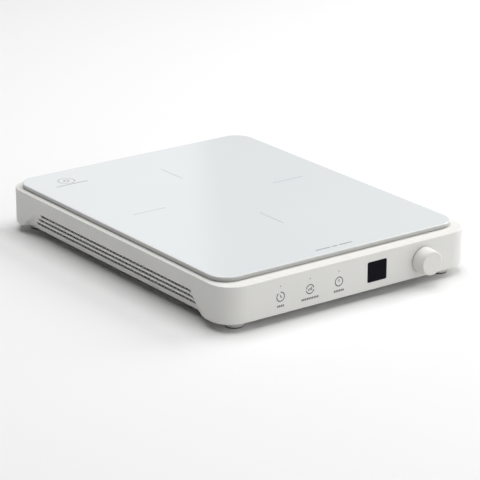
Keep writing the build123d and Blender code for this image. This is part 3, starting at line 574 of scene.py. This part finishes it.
def add_glass():
    """The glass plate with a ground lower edge and a polished, rounded upper edge."""
    half = (glass_high - glass_low) / 2
    middle = (glass_high + glass_low) / 2
    top = glass_high.z - print_film
    profile = [(glass_lower_chamfer, glass_low.z), (0.0, glass_low.z + glass_lower_chamfer)]
    for i in range(glass_round_steps + 1):
        angle = pi / 2 * i / glass_round_steps
        inset = glass_upper_round * (1 - cos(angle))
        profile.append((inset, top - glass_upper_round * (1 - sin(angle))))
    profile.append((glass_upper_round + glass_top_margin, top))
    mesh_data = bmesh.new()
    rings = []
    for inset, height in profile:
        outline = rounded_outline(half.x - inset, half.y - inset, glass_corner - inset)
        ring = [mesh_data.verts.new((middle.x + x, middle.y + y, height)) for x, y in outline]
        rings.append(ring)
    skin_rings(mesh_data, rings)
    piece = add_piece("glass_slab", mesh_data, "white_glass")
    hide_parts("glass_plate")


add_glass()

# ---------------------------------------------------------------- marks on the glass
zone_centre = (0.0, 27.0 * mm)
zone_inner = 62 * mm
zone_outer = 98 * mm
zone_line = 1.6 * mm
zone_grey = (0.62, 0.64, 0.66)
corner_centre = (-94 * mm, 147.5 * mm)
corner_ring = 8 * mm
corner_ring_line = 0.9 * mm
corner_eye = 2.5 * mm
corner_eye_line = 1.2 * mm
corner_bar_left = -112 * mm
corner_bar_right = -77 * mm
corner_bar_y = 136.5 * mm
corner_bar_line = 1.4 * mm
corner_grey = (0.40, 0.41, 0.42)
front_dashes = ((-22 * mm, -6 * mm), (-4 * mm, 2 * mm), (4 * mm, 18.5 * mm))
front_y = -147 * mm
front_line = 1.9 * mm
front_grey = (0.42, 0.43, 0.44)
gloss_print = 0.133


def glass_plane():
    """The upper face of the glass plate."""
    return PrintPlane((0, 0, glass_high.z - print_film), (1, 0, 0), (0, 1, 0))


def add_zone_marks():
    """Four dashes round the cooking zone."""
    plane = glass_plane()
    for quarter in range(4):
        angle = quarter * pi / 2
        way = Vector((cos(angle), sin(angle)))
        start = Vector(zone_centre) + way * zone_inner
        end = Vector(zone_centre) + way * zone_outer
        plane.ribbon([start, end], zone_line)
    plane.finish("zone_marks", "white_glass", zone_grey, gloss_print)


def add_corner_mark():
    """A plain ring and bar near the rear left corner."""
    plane = glass_plane()
    plane.arc(corner_centre, corner_ring, 0, 360, corner_ring_line)
    plane.arc(corner_centre, corner_eye, 0, 360, corner_eye_line)
    plane.ribbon([(corner_bar_left, corner_bar_y), (corner_bar_right, corner_bar_y)], corner_bar_line)
    plane.finish("corner_mark", "white_glass", corner_grey, gloss_print)


def add_front_mark():
    """A plain broken line at the front edge."""
    plane = glass_plane()
    for start, end in front_dashes:
        plane.ribbon([(start, front_y), (end, front_y)], front_line)
    plane.finish("front_mark", "white_glass", front_grey, gloss_print)


add_zone_marks()
add_corner_mark()
add_front_mark()

# ---------------------------------------------------------------- touch marks
touch_first = -79.5 * mm
touch_pitch = 32 * mm
touch_height = 24.2 * mm
ring_radius = 4.1 * mm
ring_line = 0.95 * mm
hand_line = 0.95 * mm
timer_rings = ((-235, 90),)
timer_hands = ((-0.3 * mm, 1.7 * mm), (0.0, 0.0), (1.4 * mm, -0.9 * mm))
mode_rings = ((10, 170), (190, 350))
mode_bars = ((-1.7 * mm, 0.4 * mm), (0.0, 1.2 * mm), (1.7 * mm, 1.8 * mm))
mode_bar_foot = -1.3 * mm
power_rings = ((0, 360),)
power_tick = ((0.0, -0.2 * mm), (0.0, 2.2 * mm))
label_dashes = {"timer": 4, "mode": 10, "power": 6}
label_height = 15.7 * mm
label_line = 1.9 * mm
label_dash = 1.4 * mm
label_gap = 0.5 * mm
print_grey = (0.12, 0.12, 0.12)
matt_print = 0.375


def touch_plane(index):
    """The front face, with its origin on one touch mark."""
    origin = (touch_first + index * touch_pitch, housing_low.y, touch_height)
    return PrintPlane(origin, (1, 0, 0), (0, 0, 1))


def add_rings(plane, parts):
    """The ring round a touch mark, whole or in parts, each from start to end in degrees."""
    for start, end in parts:
        plane.arc((0, 0), ring_radius, start, end, ring_line)


def add_label(plane, count):
    """A row of plain dashes under a touch mark, centred."""
    drop = label_height - touch_height
    start = -(count * label_dash + (count - 1) * label_gap) / 2
    for i in range(count):
        left = start + i * (label_dash + label_gap)
        plane.ribbon([(left, drop), (left + label_dash, drop)], label_line)


def add_timer_mark():
    """An open ring with two hands."""
    plane = touch_plane(0)
    add_rings(plane, timer_rings)
    plane.ribbon(timer_hands, hand_line)
    add_label(plane, label_dashes["timer"])
    plane.finish("timer_mark", "housing_plastic", print_grey, matt_print)


def add_mode_mark():
    """A ring in two parts with three level bars."""
    plane = touch_plane(1)
    add_rings(plane, mode_rings)
    for offset, top in mode_bars:
        plane.ribbon([(offset, mode_bar_foot), (offset, top)], hand_line)
    add_label(plane, label_dashes["mode"])
    plane.finish("mode_mark", "housing_plastic", print_grey, matt_print)


def add_power_mark():
    """A ring with a short upright tick."""
    plane = touch_plane(2)
    add_rings(plane, power_rings)
    plane.ribbon(power_tick, hand_line)
    add_label(plane, label_dashes["power"])
    plane.finish("power_mark", "housing_plastic", print_grey, matt_print)


add_timer_mark()
add_mode_mark()
add_power_mark()
